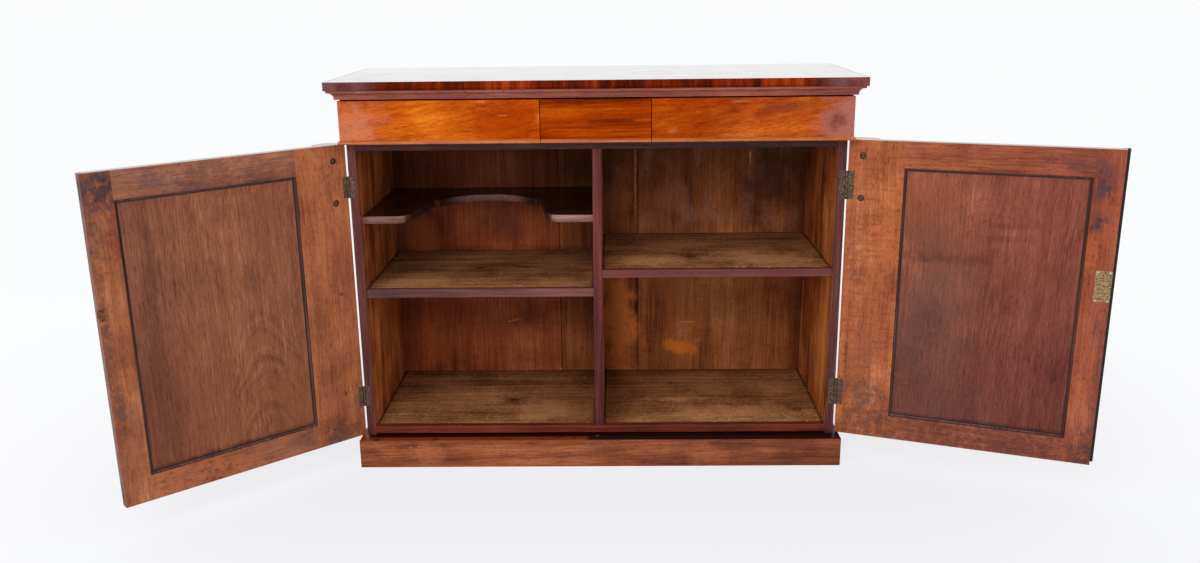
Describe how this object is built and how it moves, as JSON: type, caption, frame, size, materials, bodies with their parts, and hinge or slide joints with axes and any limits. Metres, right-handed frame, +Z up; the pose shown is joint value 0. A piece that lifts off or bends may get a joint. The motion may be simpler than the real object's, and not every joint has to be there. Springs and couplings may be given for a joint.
{
  "type": "chiffonier",
  "caption": "Low mahogany cupboard with frame-and-panel doors standing open, a divided shelved interior, concealed frieze drawers, a moulded top and a plinth base.",
  "frame": {"origin": "on the floor, on the centre line, in the plane of the case's front edges and of the door hinges' pins", "axes": "+X to the viewer's right along the front, +Y towards the back, +Z up"},
  "size_m": [2.1721, 0.7943, 0.9464],
  "materials": {
    "carcass_mahogany": "worn polish",
    "plinth_mahogany": "worn polish",
    "dark_mahogany": "worn polish",
    "cornice_mahogany": "polished",
    "frieze_mahogany": "French polished, figured",
    "top_mahogany": "French polished, glossy",
    "cross_banding": "French polished cross-banding",
    "door_mahogany": "polished",
    "panel_mahogany": "dull polish",
    "moulding_mahogany": "ebonised polish",
    "pine": "stained, dull",
    "drawer_oak": "bare",
    "aged_brass": "tarnished",
    "lock_brass": "aged",
    "bolt_brass": "worn",
    "screw_steel": "dull"
  },
  "bodies": {
    "case": {"plinth_front": "plinth_mahogany", "plinth_sides": "plinth_mahogany", "plinth_rails": "pine", "plinth_blocks": "pine", "left_side": "carcass_mahogany", "housing_filler": "carcass_mahogany", "right_side": "carcass_mahogany", "bottom_board": "pine", "centre_divider": "carcass_mahogany", "door_rail": "dark_mahogany", "dust_board": "pine", "back_boards": "pine", "shelf_boards": "pine", "lippings": "dark_mahogany", "shaped_shelf": "dark_mahogany", "drawer_partitions": "pine", "head_frame": "cornice_mahogany", "drawer_kickers": "pine", "side_friezes": "frieze_mahogany", "cornice_front": "cornice_mahogany", "cornice_sides": "cornice_mahogany", "top_board": "top_mahogany", "top_edging": "cross_banding", "tablet": "frieze_mahogany", "fixed_beads": "frieze_mahogany", "case_hinges": "aged_brass", "case_hinge_screws": "screw_steel"},
    "left_drawer": {"left_drawer_front": "frieze_mahogany", "left_drawer_box": "drawer_oak", "left_drawer_bottom": "drawer_oak", "left_drawer_bead": "frieze_mahogany"},
    "right_drawer": {"right_drawer_front": "frieze_mahogany", "right_drawer_box": "drawer_oak", "right_drawer_bottom": "drawer_oak", "right_drawer_bead": "frieze_mahogany"},
    "left_door": {"left_door_stiles": "door_mahogany", "left_door_rails": "door_mahogany", "left_door_panel": "panel_mahogany", "left_door_mouldings": "moulding_mahogany", "left_door_hinge_leaves": "aged_brass", "left_door_screws": "screw_steel", "left_console": "door_mahogany", "left_pilaster": "door_mahogany", "bolt_plates": "lock_brass", "lock_keep": "lock_brass"},
    "top_bolt": {"top_bolt": "bolt_brass"},
    "bottom_bolt": {"bottom_bolt": "bolt_brass"},
    "right_door": {"right_door_stiles": "door_mahogany", "right_door_rails": "door_mahogany", "right_door_panel": "panel_mahogany", "right_door_mouldings": "moulding_mahogany", "right_door_hinge_leaves": "aged_brass", "right_door_screws": "screw_steel", "right_console": "door_mahogany", "right_pilaster": "door_mahogany", "lock_case": "lock_brass", "escutcheon": "lock_brass", "astragal": "moulding_mahogany"},
    "lock_bolt": {"lock_bolt": "bolt_brass"}
  },
  "joints": [
    {"name": "left_door_hinge", "type": "hinge", "parent": "case", "child": "left_door", "pos_m": [-0.5818, 0, 0.438], "axis": [0, 0, -1], "range_deg": [-138, 42]},
    {"name": "right_door_hinge", "type": "hinge", "parent": "case", "child": "right_door", "pos_m": [0.5818, 0, 0.438], "axis": [0, 0, 1], "range_deg": [-160, 20]},
    {"name": "left_drawer_slide", "type": "slide", "parent": "case", "child": "left_drawer", "axis": [0, -1, 0], "range_m": [0, 0.3]},
    {"name": "right_drawer_slide", "type": "slide", "parent": "case", "child": "right_drawer", "axis": [0, -1, 0], "range_m": [0, 0.3]},
    {"name": "lock_bolt_slide", "type": "slide", "parent": "right_door", "child": "lock_bolt", "axis": [0.9397, -0.342, 0], "range_m": [0, 0.008]},
    {"name": "top_bolt_slide", "type": "slide", "parent": "left_door", "child": "top_bolt", "axis": [0, 0, 1], "range_m": [0, 0.01]},
    {"name": "bottom_bolt_slide", "type": "slide", "parent": "left_door", "child": "bottom_bolt", "axis": [0, 0, -1], "range_m": [0, 0.01]}
  ]
}
